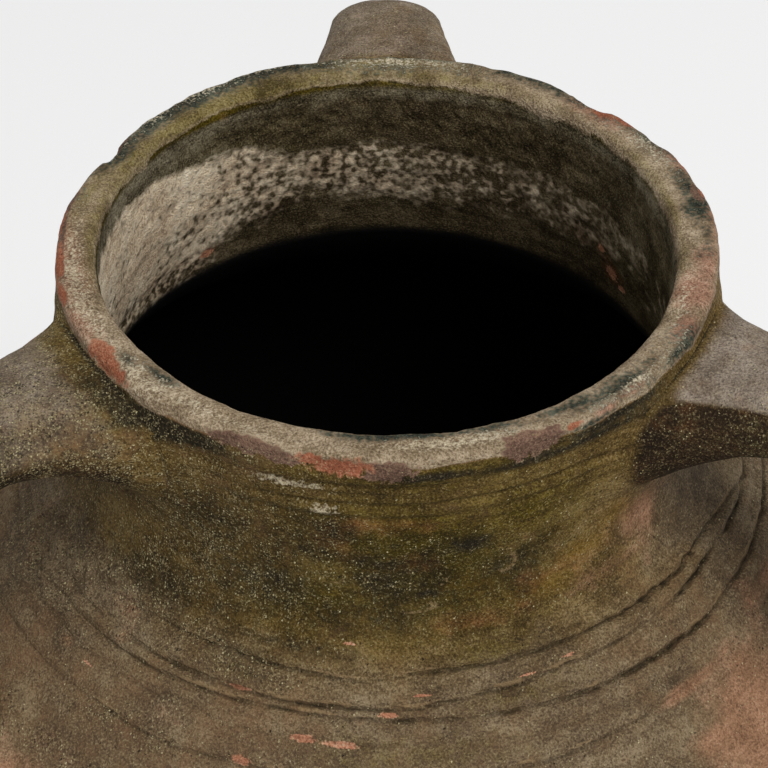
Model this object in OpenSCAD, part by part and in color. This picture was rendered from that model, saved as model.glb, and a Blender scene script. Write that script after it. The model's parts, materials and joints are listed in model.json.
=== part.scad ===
// Olive jar: a wide-mouthed storage jar of fired clay with three strap handles.
// It is raised in stages, as large jars are: a floor slab, two wall stages, the
// shoulder, the neck and the rim, each luted to the stage below over a V-shaped
// seam. Three handles reach out from the neck and turn down to the shoulder.
// Millimetres, +Z up, origin at the middle of the base, back handle towards +Y.

/* [Body] */
// Height from the ground to the top of the lip
jar_h = 820; // [760:10:880]
// Largest outside diameter, at the belly
belly_d = 612; // [580:4:644]
// Height of the widest place of the belly
belly_z = 455; // [430:5:480]
// Outside diameter of the flat base
base_d = 240; // [210:5:280]
// Lean of the wall where it leaves the base, in degrees from upright
base_lean = 24; // [16:1:30]
// Rounding of the edge that the jar stands on
base_round = 8; // [4:1:10]

/* [Shoulder] */
// How far the shoulder's inner end, where the neck's flare begins, stands out beyond the rim
flare_out = 49; // [43:1:54]
// Drop from the top of the lip to that place
shoulder_drop = 144; // [138:1:152]
// Slope of the shoulder there, in degrees from level
shoulder_slope = 41; // [37:1:45]

/* [Neck and rim] */
// Outside diameter of the rim
rim_d = 300; // [280:2:320]
// Thickness of the rim
rim_t = 18; // [16:1:21]
// Height of the rim's plain outer band
band_h = 18; // [15:1:20]
// Height of the rim above its seam with the neck
rim_h = 31; // [29:1:34]
// Height of the straight wall inside the mouth, where a stopper sits
mouth_land_h = 18; // [12:1:20]
// Rounding of the lip's outer edge
lip_round = 6; // [4:0.5:8]
// Rounding of the lip's inner edge
mouth_round = 8; // [5:0.5:9]
// How far the neck's waist lies in from the rim's outer face
waist_in = 3.5; // [2.5:0.5:6]
// Drop from the top of the lip to the waist
waist_drop = 54; // [48:1:60]
// How much wider than the mouth the throat is on each side, at the foot of the neck
throat_out = 10; // [7:1:12]
// Drop from the top of the lip to the throat's edge
throat_drop = 108; // [104:1:112]
// Drop from the top of the lip to the seam between neck and shoulder
neck_seam_drop = 116; // [114:1:119]

/* [Walls] */
// Thickness of the floor slab
floor_t = 26; // [20:1:32]
// Thickness of the wall just above the floor
low_wall_t = 20; // [17:1:24]
// Thickness of the wall at the belly
belly_wall_t = 16; // [14:1:20]
// Thickness of the wall at the top of the shoulder
shoulder_wall_t = 18; // [16:1:20]
// Radius of the corner between floor and wall, inside
floor_fillet = 30; // [20:2:40]
// Height of the seam between the lower wall and the belly wall
lower_seam_z = 250; // [220:5:280]
// Height of the seam between the belly wall and the shoulder
belly_seam_z = 500; // [470:5:530]
// Height of the V on each seam
seam_v = 5; // [3:0.5:6]

/* [Turned lines] */
// Radius of the tool that cut the lines under the rim
groove_r = 3; // [2:0.5:4]
// Depth of the lines under the rim
groove_depth = 1.4; // [0.8:0.2:2]
// Radius of the tool that cut the rings on the shoulder
ring_r = 4; // [3:0.5:6]
// Depth of the rings on the shoulder
ring_depth = 2; // [1:0.2:2.6]

/* [Handles] */
// Width of the strap at its bend
handle_w = 58; // [52:2:64]
// Thickness of the strap at its bend
handle_t = 30; // [26:1:34]
// How far the strap's outer face stands out beyond the rim
handle_reach = 96; // [90:2:108]
// Drop from the top of the lip to the top of the strap
handle_drop = 8; // [6:1:12]
// Radius of the strap's middle line round its bend
bend_round = 29; // [24:1:36]
// Extra width of the roots, where the clay is smeared onto the jar
root_w = 46; // [30:2:52]
// Extra thickness of the roots
root_t = 30; // [20:2:34]
// Length of strap over which the root on the neck swells
root_len = 90; // [60:5:100]
// Length of strap over which the root on the shoulder swells
foot_len = 60; // [40:5:80]
// How much further out than its bend the middle of the strap lands on the shoulder
foot_out = 13; // [9:1:17]
// How far below the strap's crown its root on the neck begins
root_fall = 12; // [8:1:16]
// How deep both ends of the strap are sunk before they are cut flush on the jar
root_sink = 10; // [8:1:12]

/* [Hidden] */
$fn = 96;

// Directions of the handles, in degrees from +X towards +Y. The jar was made by
// hand, so they aren't quite a third of a turn apart.
back_angle = 90;
left_angle = 213;
right_angle = 333;
// How much lower the right handle was set than the others
right_sag = 3;
// The lines under the rim, as distances below the rim's seam, and the rings on
// the shoulder, as distances below the neck's seam. They were cut by eye, so
// their spacing is uneven.
groove_steps = [-11, 0, 8];
ring_steps = [0, 7, 12, 17, 29];

curve_steps = 16;     // straight bands along each curve of the wall
edge_steps = 5;       // bands round a rounded edge
strap_steps = 14;     // rings along each of the three stretches of a handle
strap_sides = 24;     // corners of a handle's section
strap_power = 2.1;    // 2 gives an elliptic section, more a squarer one
root_power = 3.4;     // the same at the roots

// Weathered clay
rim_clay = [0.47, 0.42, 0.32];
neck_clay = [0.33, 0.30, 0.18];
shoulder_clay = [0.40, 0.34, 0.27];
belly_clay = [0.53, 0.39, 0.28];
lower_clay = [0.56, 0.41, 0.30];
base_clay = [0.50, 0.37, 0.28];
handle_clay = [0.38, 0.34, 0.28];

belly_r = belly_d / 2;
base_r = base_d / 2;
rim_r = rim_d / 2;
mouth_r = rim_r - rim_t;
waist_r = rim_r - waist_in;
waist_z = jar_h - waist_drop;
band_z = jar_h - band_h;
rim_seam_z = jar_h - rim_h;
neck_seam_z = jar_h - neck_seam_drop;
shoulder_p = [rim_r + flare_out, jar_h - shoulder_drop];
throat_p = [mouth_r + throat_out, jar_h - throat_drop];

// A cubic curve, as its end points and the directions and reaches of its pulls
function curve(a, a_dir, a_pull, b, b_dir, b_pull) =
    let (d = norm(b - a)) [a, a + d * a_pull * a_dir, b - d * b_pull * b_dir, b];
function on_curve(c, t) =
    pow(1 - t, 3) * c[0] + 3 * t * pow(1 - t, 2) * c[1]
    + 3 * t * t * (1 - t) * c[2] + pow(t, 3) * c[3];
function slope_of(c, t) =
    pow(1 - t, 2) * (c[1] - c[0]) + 2 * t * (1 - t) * (c[2] - c[1]) + t * t * (c[3] - c[2]);
function unit(v) = v / norm(v);
function mix(a, b, t) = a + (b - a) * t;
function points(c, n = curve_steps) = [for (i = [0:n]) on_curve(c, i / n)];
function arc(centre, r, a, b, n = edge_steps) =
    [for (i = [0:n]) centre + r * [cos(mix(a, b, i / n)), sin(mix(a, b, i / n))]];
function backwards(p) = [for (i = [len(p) - 1:-1:0]) p[i]];
// The inner side of a wall curve, with the wall's thickness from a to b
function inner_side(c, a, b) =
    [for (i = [0:curve_steps]) let (t = i / curve_steps, s = unit(slope_of(c, t)))
        on_curve(c, t) + mix(a, b, t) * [-s.y, s.x]];
// Radius of a rising row of [radius, height] points at a height
function radius_at(p, z) = lookup(z, [for (q = p) [q.y, q.x]]);

// Outside of the jar, upwards
up = [0, 1];
shoulder_dir = [-cos(shoulder_slope), sin(shoulder_slope)];
low_curve = curve([base_r, 0], [sin(base_lean), cos(base_lean)], 0.42,
                  [belly_r, belly_z], up, 0.42);
high_curve = curve([belly_r, belly_z], up, 0.62, shoulder_p, shoulder_dir, 0.12);
neck_curve = curve(shoulder_p, shoulder_dir, 0.38, [waist_r, waist_z], up, 0.5);
body_side = concat(points(low_curve), points(high_curve));
outside = concat(body_side, points(neck_curve));

// Inside of the jar, upwards
low_inside = inner_side(low_curve, low_wall_t, belly_wall_t);
high_inside = inner_side(high_curve, belly_wall_t, shoulder_wall_t);
flare_curve = curve(high_inside[curve_steps], shoulder_dir, 0.3,
                    throat_p, [-cos(60), sin(60)], 0.3);
land_z = jar_h - mouth_round - mouth_land_h;
neck_inside = curve(throat_p, unit([-1, 6]), 0.3, [mouth_r, land_z], up, 0.5);
inside = concat(low_inside, high_inside, points(flare_curve), points(neck_inside));

// The corner between floor and wall, tangent to both
corner_z = floor_t + floor_fillet * (1 - sin(base_lean));
corner_r = radius_at(low_inside, corner_z);
corner = arc([corner_r - floor_fillet * cos(base_lean), floor_t + floor_fillet],
             floor_fillet, -base_lean, -90);

// Base edge, wall and lip in one line from the axis round to the axis again
outline_points = concat(
    [[0, 0], [base_r - base_round, 0]],
    [for (p = outside) if (p.y > base_round) p],
    [[mix(waist_r, rim_r, 0.3), band_z], [rim_r, band_z + lip_round / 2]],
    arc([rim_r - lip_round, jar_h - lip_round], lip_round, 0, 90));
inside_points = concat(
    arc([mouth_r + mouth_round, jar_h - mouth_round], mouth_round, 90, 180),
    [for (p = backwards(inside)) if (p.y > corner_z) p],
    corner, [[0, floor_t]]);

// A turned line, as the mark of a round tool pressed into the outside at height z
module tool_mark(z, r, depth) {
    p = [radius_at(outside, z), z];
    q = [radius_at(outside, z + 1), z + 1];
    n = unit([q.y - p.y, p.x - q.x]);
    translate(p + n * (r - depth)) circle(r);
}

module turned_lines() {
    for (s = groove_steps) tool_mark(rim_seam_z - s, groove_r, groove_depth);
    for (s = ring_steps) tool_mark(neck_seam_z - s, ring_r, ring_depth);
}

// Half of the jar's section, filled to the axis
module filled_section() {
    difference() {
        polygon(concat(outline_points, [[0, jar_h]]));
        turned_lines();
    }
}

// Half of the jar's section, with its inside open
module wall_section() {
    difference() {
        polygon(concat(outline_points, inside_points));
        turned_lines();
    }
}

// Line of a seam from the axis outwards, with its V in the middle of the wall
function seam(z) =
    let (a = z > corner_z ? radius_at(inside, z) : corner_r - floor_fillet,
         b = radius_at(outside, z), m = (a + b) / 2, w = (b - a) / 4)
    [[0, z], [m - w, z], [m, z + seam_v], [m + w, z], [belly_r + belly_wall_t, z]];
function level(z) = [[0, z], [belly_r + belly_wall_t, z]];

// One stage of the wall, between two lines
module stage(bottom, top) {
    rotate_extrude()
        intersection() {
            wall_section();
            polygon(concat(bottom, backwards(top)));
        }
}

module base() {
    color(base_clay) stage(level(-1), seam(floor_t));
}

module lower_wall() {
    color(lower_clay) stage(seam(floor_t), seam(lower_seam_z));
}

module belly_wall() {
    color(belly_clay) stage(seam(lower_seam_z), seam(belly_seam_z));
}

module shoulder() {
    color(shoulder_clay) stage(seam(belly_seam_z), seam(neck_seam_z));
}

module neck() {
    color(neck_clay) stage(seam(neck_seam_z), seam(rim_seam_z));
}

module rim() {
    color(rim_clay) stage(seam(rim_seam_z), level(jar_h + 1));
}

// Middle line of a handle, as distance from the axis and height: level out from
// the neck, round a bend, then down into the shoulder
crown_z = jar_h - handle_drop - handle_t / 2;
bend_r = rim_r + handle_reach - handle_t / 2;
bend_centre = [bend_r - bend_round, crown_z - bend_round];
root_p = [waist_r - root_sink, crown_z - root_fall];
landing_r = bend_r + foot_out;
landing_z = radius_at([for (p = backwards(points(high_curve))) [p.y, p.x]], landing_r);
landing_p = [landing_r, landing_z - root_sink];
arm = curve(root_p, unit([1, 0.2]), 0.35, bend_centre + [0, bend_round], [1, 0], 0.35);
leg = curve(bend_centre + [bend_round, 0], [0, -1], 0.35, landing_p, unit([0.1, -1]), 0.35);
strap_line = concat(points(arm, strap_steps),
                    [for (i = [1:strap_steps - 1]) arc(bend_centre, bend_round, 90, 0, strap_steps)[i]],
                    points(leg, strap_steps));

// How far a root has swollen at a place on the line, from 0 to 1
function swell(p) =
    let (d = min(norm(p - root_p) / root_len, norm(p - landing_p) / foot_len))
    d < 1 ? pow(1 - d, 2) : 0;

// Corners of the strap's section round place i of its line
function strap_ring(i) =
    let (n = len(strap_line) - 1, p = strap_line[i],
         s = unit(strap_line[min(i + 1, n)] - strap_line[max(i - 1, 0)]),
         w = (handle_w + root_w * swell(p)) / 2, h = (handle_t + root_t * swell(p)) / 2,
         e = 2 / mix(strap_power, root_power, swell(p)))
    [for (k = [0:strap_sides - 1])
        let (c = cos(k * 360 / strap_sides), d = sin(k * 360 / strap_sides),
             x = sign(c) * pow(abs(c), e) * w,
             y = sign(d) * pow(abs(d), e) * h)
        [p.x - s.y * y, x, p.y + s.x * y]];

// Strap lofted through its sections, cut to lie flush on the jar
module handle(angle, sag = 0) {
    m = strap_sides;
    n = len(strap_line);
    ends = [[for (k = [0:m - 1]) k], [for (k = [m - 1:-1:0]) (n - 1) * m + k]];
    sides = [for (i = [0:n - 2], k = [0:m - 1], half = [0, 1])
        let (a = i * m + k, b = i * m + (k + 1) % m)
        half == 0 ? [a, a + m, b] : [b, a + m, b + m]];
    color(handle_clay)
        difference() {
            translate([0, 0, -sag]) rotate(angle)
                polyhedron([for (i = [0:n - 1]) each strap_ring(i)], concat(ends, sides));
            rotate_extrude() filled_section();
        }
}

module handle_back() {
    handle(back_angle);
}

module handle_left() {
    handle(left_angle);
}

module handle_right() {
    handle(right_angle, right_sag);
}

base();
lower_wall();
belly_wall();
shoulder();
neck();
rim();
handle_back();
handle_left();
handle_right();
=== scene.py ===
"""Olive jar: the looks of a hand-raised, weathered terracotta storage jar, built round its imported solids.

Sizes here are millimetres until a mesh is made. Directions round the jar are degrees from +X towards +Y,
so the front is 270. A place on the wall is its direction, turn, and its run: the distance along the
wall's outline from the crown of the lip, above zero down the outside and below zero down the inside.
"""
import json
import math

import bpy
import numpy as np
from mathutils import Matrix, Vector
from mathutils.bvhtree import BVHTree


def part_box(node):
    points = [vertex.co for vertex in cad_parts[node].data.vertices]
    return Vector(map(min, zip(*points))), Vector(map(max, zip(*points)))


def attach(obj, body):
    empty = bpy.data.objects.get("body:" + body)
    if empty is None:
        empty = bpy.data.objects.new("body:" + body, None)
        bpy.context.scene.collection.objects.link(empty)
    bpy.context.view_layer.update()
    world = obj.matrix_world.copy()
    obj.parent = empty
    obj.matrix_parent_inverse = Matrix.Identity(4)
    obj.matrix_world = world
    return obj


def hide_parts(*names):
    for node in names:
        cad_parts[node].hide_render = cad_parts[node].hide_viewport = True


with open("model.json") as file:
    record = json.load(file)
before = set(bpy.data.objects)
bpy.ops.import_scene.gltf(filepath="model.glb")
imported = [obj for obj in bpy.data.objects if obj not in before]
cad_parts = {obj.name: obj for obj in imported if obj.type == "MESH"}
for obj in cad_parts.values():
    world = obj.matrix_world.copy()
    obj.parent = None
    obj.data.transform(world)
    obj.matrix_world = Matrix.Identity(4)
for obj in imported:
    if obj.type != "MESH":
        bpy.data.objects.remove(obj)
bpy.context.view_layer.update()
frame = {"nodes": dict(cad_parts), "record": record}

MM = 0.001
STAGES = ["rim", "neck", "shoulder", "belly_wall", "lower_wall", "base"]
HANDLES = {"handle_back": (90, 0), "handle_left": (213, 0), "handle_right": (333, 3)}   # direction, drop

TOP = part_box("rim")[1].z / MM
RIM_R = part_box("rim")[1].x / MM
BELLY_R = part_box("belly_wall")[1].x / MM
MOUTH_R = next(m for m in frame["record"]["mounts"] if m["name"] == "mouth")["dims"]["r_mm"]
LIP_ROUND, MOUTH_ROUND = 6, 8        # rounding of the lip's outer and inner edges
COLUMNS = 720                        # columns of faces round the jar
SEAM_V = 5                           # a seam's ridge stands this far up into the stage above
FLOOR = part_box("base")[1].z / MM - SEAM_V


# Noise

def noise(p, size, seed=0):
    """Smooth lumps about size across, from -1 to 1, at points p of shape (..., 3)."""
    q = np.asarray(p) / size + 37.7 * seed
    cell = np.floor(q)
    f = q - cell
    f = f * f * (3 - 2 * f)
    cell = cell.astype(np.int64)
    total = 0
    for corner in range(8):
        step = [corner & 1, corner >> 1 & 1, corner >> 2 & 1]
        h = sum((cell[..., k] + step[k]) * m for k, m in enumerate((374761393, 668265263, 2147483647)))
        h = (h ^ (h >> 13)) * 1274126177 & 0xffffffff
        h = (h ^ (h >> 16)) & 0xffff
        weight = np.prod([f[..., k] if step[k] else 1 - f[..., k] for k in range(3)], axis=0)
        total = total + weight * (h / 32767.5 - 1)
    return total


def rough_noise(p, size, seed=0, octaves=3):
    """The same with finer lumps on it."""
    return sum(noise(p, size / 2 ** k, seed + k) / 2 ** k for k in range(octaves)) / (2 - 0.5 ** (octaves - 1))


def bell(x, middle, width):
    return np.exp(-((x - middle) / width) ** 2)


def ease(x, low, high):
    """0 up to low, 1 from high on, and smooth between."""
    t = np.clip((x - low) / (high - low), 0, 1)
    return t * t * (3 - 2 * t)


def away(turn, middle):
    """Degrees from a direction, from -180 to 180."""
    return (turn - middle + 180) % 360 - 180


def by_turn(turn, *knots):
    """A value that changes smoothly with direction, through (direction, value) knots."""
    a, v = zip(*sorted(knots))
    return np.interp(turn, a, v, period=360)


# The wall's outline

def wall_tree():
    """The six stages' solids as one tree that rays are cast at, in millimetres."""
    corners, faces = [], []
    for name in STAGES:
        mesh = frame["nodes"][name].data
        first = len(corners)
        corners += [v.co / MM for v in mesh.vertices]
        faces += [[first + k for k in p.vertices] for p in mesh.polygons]
    return BVHTree.FromPolygons(corners, faces)


def reach(tree, z, outside):
    """Radius of the outside or the inside of the wall at a height."""
    side = Vector((math.cos(0.37), math.sin(0.37), 0))
    start = side * 2 * BELLY_R if outside else Vector((0, 0, 0))
    hit = tree.ray_cast(start + Vector((0, 0, z)), -side if outside else side)[0]
    return math.hypot(hit.x, hit.y)


def arc(r, z, size, a, b):
    return [(r + size * math.cos(math.radians(t)), z + size * math.sin(math.radians(t)))
            for t in np.linspace(a, b, 13)]


LIP_LINES = [20, 31, 38.5]           # drops, below the crown, of the lines turned under the rim
RINGS_END = 154                      # drop below which the shoulder has no rings


def side_of_wall(tree, outside):
    """One side as rows of (radius, height) from the crown to the axis, without its turned lines."""
    crown = ((MOUTH_R + MOUTH_ROUND + RIM_R - LIP_ROUND) / 2, TOP)
    if outside:
        edge = arc(RIM_R - LIP_ROUND, TOP - LIP_ROUND, LIP_ROUND, 90, 0)
        drops = [d for d in np.arange(LIP_ROUND + 1, TOP, 1.0) if min(abs(d - x) for x in LIP_LINES) > 3.2]
        rows = [(reach(tree, TOP - d, True), TOP - d) for d in drops]
        bare = [(r, z) for r, z in rows if 45 < TOP - z < 111 or 137.5 < TOP - z < 139 or RINGS_END < TOP - z < 215]
        fit = np.polyfit([(TOP - z - 130) / 85 for r, z in bare], [r for r, z in bare], 8)
        rows = [(np.polyval(fit, (TOP - z - 130) / 85), z) if 111 <= TOP - z <= RINGS_END else (r, z) for r, z in rows]
        foot = [(reach(tree, z, True), z) for z in (0.6, 0.3, 0.1)]
        end = [(foot[-1][0] - 2, 0), (0.5, 0)]
        return np.array([crown] + edge + rows + foot + end)
    edge = arc(MOUTH_R + MOUTH_ROUND, TOP - MOUTH_ROUND, MOUTH_ROUND, 90, 180)
    drops = np.concatenate([np.arange(MOUTH_ROUND + 1, TOP - FLOOR - 8, 1.0), TOP - FLOOR - np.array([7, 5, 3, 2, 1, 0.3])])
    rows = [(reach(tree, TOP - d, False), TOP - d) for d in drops]
    return np.array([crown] + edge + rows + [(rows[-1][0] - 1, FLOOR), (0.5, FLOOR)])


# Size of the faces along the outline, by drop: fine on the lip, the neck and the rings
OUTSIDE_STEP = [(0, 0.8), (45, 0.9), (50, 1.4), (108, 1.4), (112, 1.15), (152, 1.25), (168, 4), (320, 6), (820, 8)]
INSIDE_STEP = [(0, 0.9), (30, 1.6), (112, 1.7), (128, 8), (800, 12)]


def seam_drops():
    """Drops of the seams below the rim, neck, shoulder, belly wall and lower wall."""
    low = [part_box(name)[0].z / MM for name in STAGES[:-2]]
    return [TOP - z for z in low] + [TOP - FLOOR - 0.1]


def rows_between(side, step, a, b):
    """The side's rows from drop a to drop b, ends included, spaced as step says."""
    drop, far = TOP - side[:, 1], np.concatenate([[0], np.cumsum(np.linalg.norm(np.diff(side, axis=0), axis=1))])
    far_a, far_b = (far[0] if a <= 0 else np.interp(a, drop, far)), (np.interp(b, drop, far) if b < 1e6 else far[-1])
    fine = np.linspace(far_a, far_b, 4000)
    size = np.interp(np.interp(fine, far, drop), *zip(*step))
    count = np.concatenate([[0], np.cumsum(np.diff(fine) / size[1:])])
    at = np.interp(np.linspace(0, count[-1], max(3, int(round(count[-1])) + 1)), count, fine)
    return np.stack([np.interp(at, far, side[:, 0]), np.interp(at, far, side[:, 1]), at], axis=1)


def wall_rows(sides):
    """All rows of both sides, and for each stage the range of rows that is its outside and its inside."""
    drops = [0] + seam_drops() + [1e7]
    rows, ranges = {}, {}
    for outside, step in ((True, OUTSIDE_STEP), (False, INSIDE_STEP)):
        side = sides[outside]
        parts, first = [], 0
        for k, name in enumerate(STAGES):
            part = rows_between(side, step, drops[k], drops[k + 1])
            ranges[name, outside] = (first, first + len(part) - 1)
            first += len(part) - 1
            parts.append(part if k == len(STAGES) - 1 else part[:-1])
        rows[outside] = np.concatenate(parts)
    # the inside from the floor up to the crown, then the outside from the crown down
    inner = rows[False][1:][::-1] * [1, 1, -1]
    line = np.concatenate([inner, rows[True]])
    crown = len(inner)
    for name in STAGES:
        a, b = ranges[name, True]
        ranges[name, True] = (crown + a, crown + b)
        a, b = ranges[name, False]
        ranges[name, False] = (crown - b, crown - a)
    return line, ranges


# The wall's form

# The lip isn't round: how far it stands out by direction, with the notch at the back left
LIP_SWAY = [(8, 1.2), (14, 2.0), (20, 1.8), (26, 2.6), (32, 0.3), (38, 0.8), (44, -0.3), (50, -1.5), (56, 0.6),
            (62, -0.6), (71, 0.3), (90, 0.5), (106, 1.6), (112, 2.6), (118, 2.6), (124, 1.4), (130, 0.8),
            (136, 0.6), (142, 0.4), (148, -1.0), (154, -2.6), (159, -0.6), (166, 0.3), (172, 1.2), (184, 0.4),
            (236, -0.6), (300, 0), (350, 0.5)]

# How strong a turned line is by direction: under the rim they fade towards the side handles, on the shoulder they
# are half lost at the left, and at the right one is torn deep, one is clear and the others break off
RIM_FADE = [(20, 0.5), (150, 0.5), (185, 0.2), (236, 0.1), (256, 1), (306, 1), (322, 0.2), (350, 0.1)]
DEEP = [(20, 1), (200, 0.5), (222, 0.6), (238, 1), (302, 1), (314, 1.9), (347, 1.9), (0, 1)]
CLEAR = [(20, 1), (200, 0.5), (222, 0.6), (238, 1), (302, 1), (314, 1.3), (347, 1.3), (0, 1)]
BROKEN = [(20, 1), (200, 0.5), (222, 0.6), (238, 1), (306, 1), (315, 0.2), (320, 1.3), (329, 1.3), (333, 0.1), (337, 1.6),
          (346, 1.6), (350, 0.2), (0, 1)]
LOST = [(20, 1), (200, 0.5), (222, 0.6), (238, 1), (308, 1), (320, 0.25), (350, 0.25), (0, 1)]
# Turned lines under the rim and rings on the shoulder: depth, ledge below it, its drop by direction, its strength
LINES = [
    (1.2, 0.7, [(180, 20), (270, 20), (310, 20.5), (60, 20)], RIM_FADE),
    (1.4, 0.8, [(180, 31), (270, 31.3), (310, 31.5), (60, 31)], RIM_FADE),
    (0.9, 0.7, [(180, 39), (270, 39), (310, 38), (60, 38)], RIM_FADE),
    (1.1, 0.9, [(200, 116), (246, 114.5), (266, 117), (276, 114.3), (293, 113.7), (304, 114.1), (320, 115.6),
                (334, 114.8), (343, 117.8), (350, 124), (0, 121), (20, 117), (110, 115)], DEEP),
    (1.2, 1.1, [(200, 124), (246, 125), (275, 124.5), (285, 122.3), (320, 121.3), (330, 121), (337, 122),
                (346, 123), (20, 123), (110, 124)], BROKEN),
    (1.2, 1.1, [(200, 129), (241, 128.7), (255, 127.8), (275, 128.2), (290, 130), (300, 131.3), (317, 132.4),
                (329, 133), (348, 133.4), (20, 133), (110, 129)], CLEAR),
    (0.6, 0.5, [(200, 136), (245, 135), (275, 134.5), (288, 137), (300, 138), (345, 140), (20, 138), (110, 135)], LOST),
    (1.0, 0.8, [(200, 146), (234, 145.8), (249, 145), (275, 145.5), (310, 144), (321, 145.5), (110, 146)], LOST),
]
UNDER_RIM = 3                        # the first lines of the list, which are softer


def wall_places(line):
    """Direction, run, drop and undisplaced point of every corner of the grid of rows and columns."""
    turn = np.arange(COLUMNS) * 360 / COLUMNS
    a = np.radians(turn)
    point = np.stack([line[:, :1] * np.cos(a), line[:, :1] * np.sin(a), line[:, 1:2] + 0 * a], axis=-1)
    turn, run = np.broadcast_arrays(turn[None, :], line[:, 2:3])
    return turn, run, TOP - point[..., 2], point


def turned_lines(turn, drop, point, kept):
    """Relief of the turned lines, distance from the nearest cut, how deep it is there, which darkens the cut with dirt
    and painted shade, and wear on its edge, with a painted highlight in it.
    """
    relief, wear_and_highlight, strength = np.zeros((3,) + drop.shape)
    nearest = np.full_like(drop, 9.0)
    around = point * [1, 1, 0]
    for k, (depth, ledge, knots, fade) in enumerate(LINES):
        x = drop - by_turn(turn, *knots) - 0.6 * noise(around, 26, 40 + k) - 0.25 * noise(around, 6, 50 + k)
        lit = np.clip(1 + 0.4 * noise(around, 34, 60 + k) + 0.3 * noise(around, 9, 65 + k), 0.35, 1.3) * kept
        soft = k < UNDER_RIM
        lit = lit * by_turn(turn, *fade)
        if not soft:
            x = x + 0.35 * lit * noise(point, 4, 55 + k)
        bulge = bell(x, 2.7, 2.3) + 1.2 * bell(x, -2.5, 2.1)
        relief += np.minimum(lit, 1.5) * (0.75 * ledge * bulge - depth * bell(x, 0, 2.0 if soft else 1.1))
        lit = lit * (0.55 if soft else 1)
        # a pale edge above each cut: partly wear, partly a painted highlight on the ledge
        wear_and_highlight = np.maximum(wear_and_highlight, np.minimum(lit, 1.1) * ledge * bell(x, -1.2, 0.8) * ease(noise(around, 12, 70 + k), -0.2, 0.5))
        # a stronger line is wider too
        x = np.abs(x) / np.clip(lit, 0.8, 1.7)
        closer = x < nearest
        nearest = np.where(closer, x, nearest)
        # a deeper cut is painted darker: partly dirt, partly painted shade
        strength = np.where(closer, np.minimum(lit, 1.6) * min(depth, 1.2), strength)
    return relief, {"line": nearest, "cut": strength, "wear_and_highlight": wear_and_highlight}


def patch(turn, run, middle, at, half_turn, half_run):
    """1 in the middle of a patch on the wall, 0.5 at its edge and 0 well outside it."""
    return np.clip(1 - 0.5 * np.hypot(away(turn, middle) / half_turn, (run - at) / half_run), 0, 1)


def most(turn, run, patches):
    """The strongest of some patches; a fifth number is a patch's strength."""
    return np.max([patch(turn, run, *p[:4]) * (p[4] if len(p) > 4 else 1) for p in patches], axis=0)


# Flakes off the lip down to the clay: direction, run, half width in degrees, half width along the outline
RED_FLAKES = [(217, 8.5, 5.5, 4.5), (214, 5, 3, 4), (262.5, 13.5, 4.8, 5), (258, 11, 2.5, 3), (301.5, 9, 1.4, 2.0),
              (43, 4, 2.6, 4.5), (38, 6, 3, 3), (22, 9, 2.5, 3), (12, 9, 2, 3), (187, 8, 5, 3.5), (196, 9, 3, 3),
              (176, 9, 4, 2.5)]
# Fresh chips on the rings and inside the neck, paler than the flakes
CHIPS = [(259, 154.5, 1.9, 1.7), (264.2, 155.5, 2.2, 1.6), (251.8, 169, 1.3, 2.0), (264.3, 111.5, 1.3, 0.8), (270.3, 142, 1.4, 1.2),
         (248.8, 139, 2.0, 0.9), (275, 134, 1.6, 0.7), (291, 133, 1.6, 0.7), (226, 160, 1, 0.8), (298, 131, 1.2, 0.7),
         (132, -100, 1.8, 3), (34, -92, 1.6, 4), (37, -79, 1, 2.5), (31, -98, 1.2, 2)]
MAUVE_FLAKES = [(247.5, 11, 7, 4.4), (253, 13.5, 3.5, 3.2), (270, 15.5, 4.2, 6), (294, 10.5, 5.4, 7.5),
                (181, 7, 8, 3), (170, 8, 4, 3), (12, 4, 3, 2.5), (150, 9, 3, 3),
                (75, 9, 4, 2.5)]
# Knocks and chips in the lip's edges: direction, run, half width in degrees, half width, depth
KNOCKS = [(217, 9, 5, 6, 1.2), (248, 12, 7, 4, 0.9), (262, 14, 5, 5, 1.1), (270, 17, 4, 6, 0.8),
          (295, 15, 5, 6, 1.1), (153.5, 9, 3, 6, 2.0), (46, 8, 4, 5, 1.6), (30, 9, 3, 4, 1.2), (16, 9, 3, 4, 1.0),
          (335, -6, 6, 5, 1.0), (350, 8, 4, 5, 0.8), (190, 8, 4, 4, 0.8), (232, 10, 3, 3, 0.8), (310, 10, 4, 4, 0.8),
          (75, -8, 5, 4, 0.8), (120, -7, 6, 4, 0.8), (200, -7, 5, 4, 0.8), (281, -7, 3, 3, 0.7)]


# Lumps of clay torn up beside the straps' roots: direction, run, half width in degrees, half width
TORN = [(206, 136, 8, 14), (215, 130, 6, 9, 0.9), (223, 119, 5, 6, 0.6), (213, 118, 6, 9), (343, 132, 8, 12, 0.45), (334, 118, 5, 8, 0.6), (66, 124, 6, 10, 0.6),
        (114, 124, 6, 10, 0.6)]

# Raised crescents where something stuck to the wet clay: direction, run, half width in degrees, half width
SCARS = [(274.5, 94, 3.4, 2.4), (290, 78, 2.0, 4.6), (260.5, 81, 2.4, 1.8), (279, 82, 1.2, 1.6), (322, 75, 2, 3)]


def scars(turn, run):
    ridge = 0
    for middle, at, half_turn, half_run in SCARS:
        x, y = away(turn, middle) / half_turn, (run - at) / half_run
        ridge = ridge + bell(np.hypot(x, y), 1, 0.3) * ease(x + 0.8 * y, -0.6, 0.6)
    return ridge


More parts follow.
